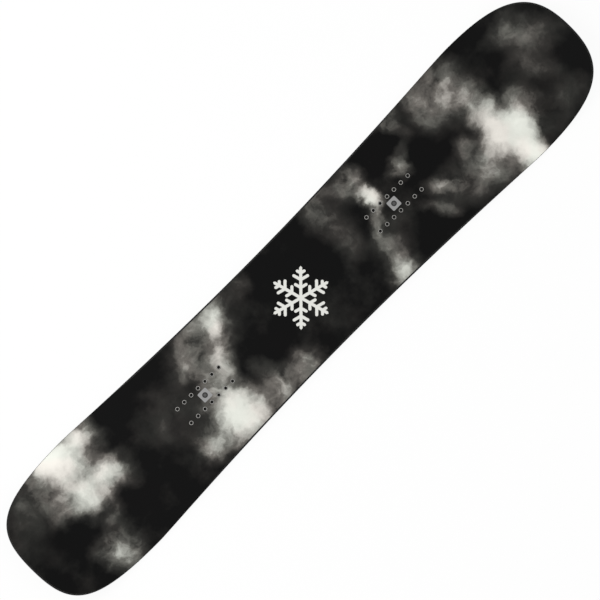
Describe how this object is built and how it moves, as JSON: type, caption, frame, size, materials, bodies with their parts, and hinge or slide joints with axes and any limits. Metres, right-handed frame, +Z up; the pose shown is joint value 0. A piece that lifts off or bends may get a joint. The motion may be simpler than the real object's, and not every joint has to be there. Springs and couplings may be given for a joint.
{
  "type": "snowboard",
  "caption": "All-mountain snowboard deck with raised nose and tail, slight camber, steel edges, black sidewalls, a smoky black and grey topsheet and two packs of binding inserts.",
  "frame": {"origin": "centre of the board's length and width, on the surface that its two contact strips rest on", "axes": "+X towards the nose, +Y towards the heel side, +Z up, out of the topsheet"},
  "size_m": [1.56, 0.2914, 0.0524],
  "materials": {
    "topsheet": "satin print",
    "base": "waxed and structured",
    "steel_edge": "ground",
    "sidewall": "planed",
    "tip_spacer": "planed",
    "laminate": "glass fibre in resin",
    "damping_rubber": "matt",
    "core_pale_wood": "sanded",
    "core_dark_wood": "sanded",
    "insert_mat": "glass mat in resin",
    "insert_steel": "turned stainless"
  },
  "bodies": {
    "root": {"base_sheet": "base", "steel_edge_toe_side": "steel_edge", "steel_edge_heel_side": "steel_edge", "lower_laminate": "laminate", "edge_damping_toe_side": "damping_rubber", "edge_damping_heel_side": "damping_rubber", "core_strip_01": "core_pale_wood", "core_strip_02": "core_dark_wood", "core_strip_03": "core_pale_wood", "core_strip_04": "core_dark_wood", "core_strip_05": "core_pale_wood", "core_strip_06": "core_dark_wood", "core_strip_07": "core_pale_wood", "core_strip_08": "core_dark_wood", "core_strip_09": "core_pale_wood", "core_strip_10": "core_dark_wood", "core_strip_11": "core_pale_wood", "sidewall_toe_side": "sidewall", "sidewall_heel_side": "sidewall", "nose_spacer": "tip_spacer", "tail_spacer": "tip_spacer", "insert_mat_front": "insert_mat", "insert_mat_rear": "insert_mat", "insert_front_01": "insert_steel", "insert_front_02": "insert_steel", "insert_front_03": "insert_steel", "insert_front_04": "insert_steel", "insert_front_05": "insert_steel", "insert_front_06": "insert_steel", "insert_front_07": "insert_steel", "insert_front_08": "insert_steel", "insert_front_09": "insert_steel", "insert_front_10": "insert_steel", "insert_front_11": "insert_steel", "insert_front_12": "insert_steel", "insert_front_13": "insert_steel", "insert_front_14": "insert_steel", "insert_rear_01": "insert_steel", "insert_rear_02": "insert_steel", "insert_rear_03": "insert_steel", "insert_rear_04": "insert_steel", "insert_rear_05": "insert_steel", "insert_rear_06": "insert_steel", "insert_rear_07": "insert_steel", "insert_rear_08": "insert_steel", "insert_rear_09": "insert_steel", "insert_rear_10": "insert_steel", "insert_rear_11": "insert_steel", "insert_rear_12": "insert_steel", "insert_rear_13": "insert_steel", "insert_rear_14": "insert_steel", "upper_laminate": "laminate", "topsheet": "topsheet"}
  },
  "joints": []
}
